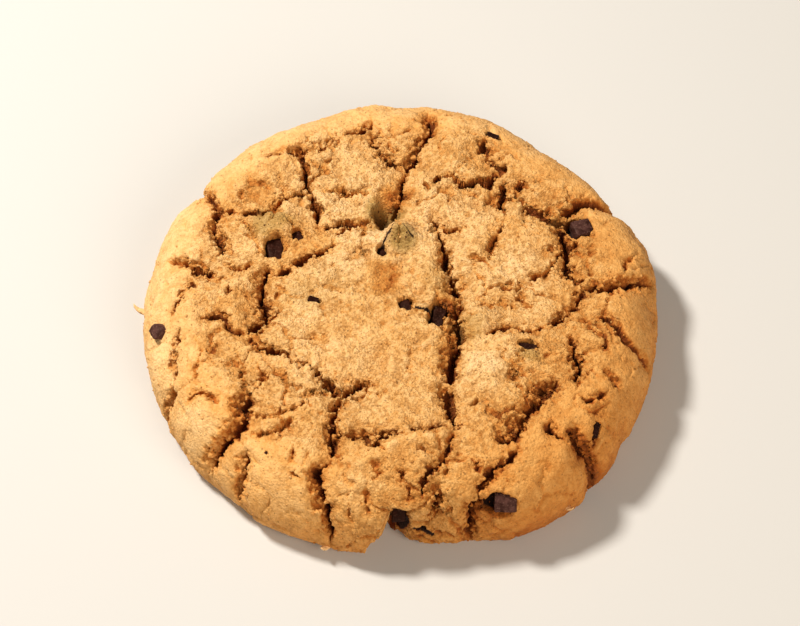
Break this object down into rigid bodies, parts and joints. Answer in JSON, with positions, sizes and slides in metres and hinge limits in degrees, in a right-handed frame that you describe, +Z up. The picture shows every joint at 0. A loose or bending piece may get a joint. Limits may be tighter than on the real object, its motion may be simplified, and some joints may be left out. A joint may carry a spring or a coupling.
{
  "type": "chocolate chip cookie",
  "caption": "Round baked chocolate chip cookie with a cracked, crumbly crust and dark chocolate chunks set in its top, lying flat.",
  "frame": {"origin": "on the surface the cookie lies on, under the middle of its outline", "axes": "+Z up, out of the cracked top; +Y towards its back edge, so the side shown in front faces -Y; +X to the right"},
  "size_m": [0.0878, 0.087, 0.0178],
  "materials": {
    "baked_dough": "matt, crumbly baked crust, golden tan with orange-brown crack walls",
    "dark_chocolate": "dark chocolate with a soft sheen, dusty where crumbs rubbed it"
  },
  "bodies": {
    "root": {"dough": "baked_dough", "chunk_north_west": "dark_chocolate", "chunk_north_west_small": "dark_chocolate", "chunk_middle_west": "dark_chocolate", "chunk_under_hump": "dark_chocolate", "chunk_middle": "dark_chocolate", "chunk_middle_east": "dark_chocolate", "chunk_north_east": "dark_chocolate", "chunk_west_rim": "dark_chocolate", "chunk_south_east": "dark_chocolate", "chunk_south": "dark_chocolate", "chunk_south_low": "dark_chocolate", "chunk_east": "dark_chocolate", "chunk_north_rim": "dark_chocolate", "chunk_south_east_rim": "dark_chocolate", "chunk_south_west": "dark_chocolate"}
  },
  "joints": []
}
